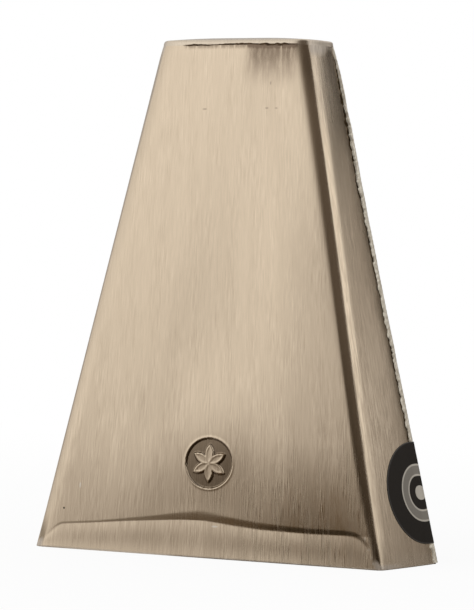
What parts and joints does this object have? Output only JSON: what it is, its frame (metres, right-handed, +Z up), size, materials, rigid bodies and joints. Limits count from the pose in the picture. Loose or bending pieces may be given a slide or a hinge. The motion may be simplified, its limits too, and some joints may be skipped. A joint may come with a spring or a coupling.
{
  "type": "hand cowbell",
  "caption": "Tapered steel hand cowbell, open at the mouth, pressed in halves with folded side flanges, welded side seams, a welded domed crown cap and a round side label.",
  "frame": {"origin": "middle of the open mouth, on the plane that the rim stands on", "axes": "+Z up from the mouth to the crown, -Y out of the front panel, +X towards the seam that carries the label"},
  "size_m": [0.1684, 0.0676, 0.2032],
  "materials": {
    "brushed_steel": "warm grey steel, brushed from mouth to crown",
    "weld_metal": "ground weld bead with dark pits along its toes",
    "label_vinyl": "black printed vinyl, satin"
  },
  "bodies": {
    "root": {"front_shell": "brushed_steel", "rear_shell": "brushed_steel", "crown_cap": "brushed_steel", "crown_weld": "weld_metal", "right_seam_weld": "weld_metal", "left_seam_weld": "weld_metal", "side_label": "label_vinyl"}
  },
  "joints": []
}
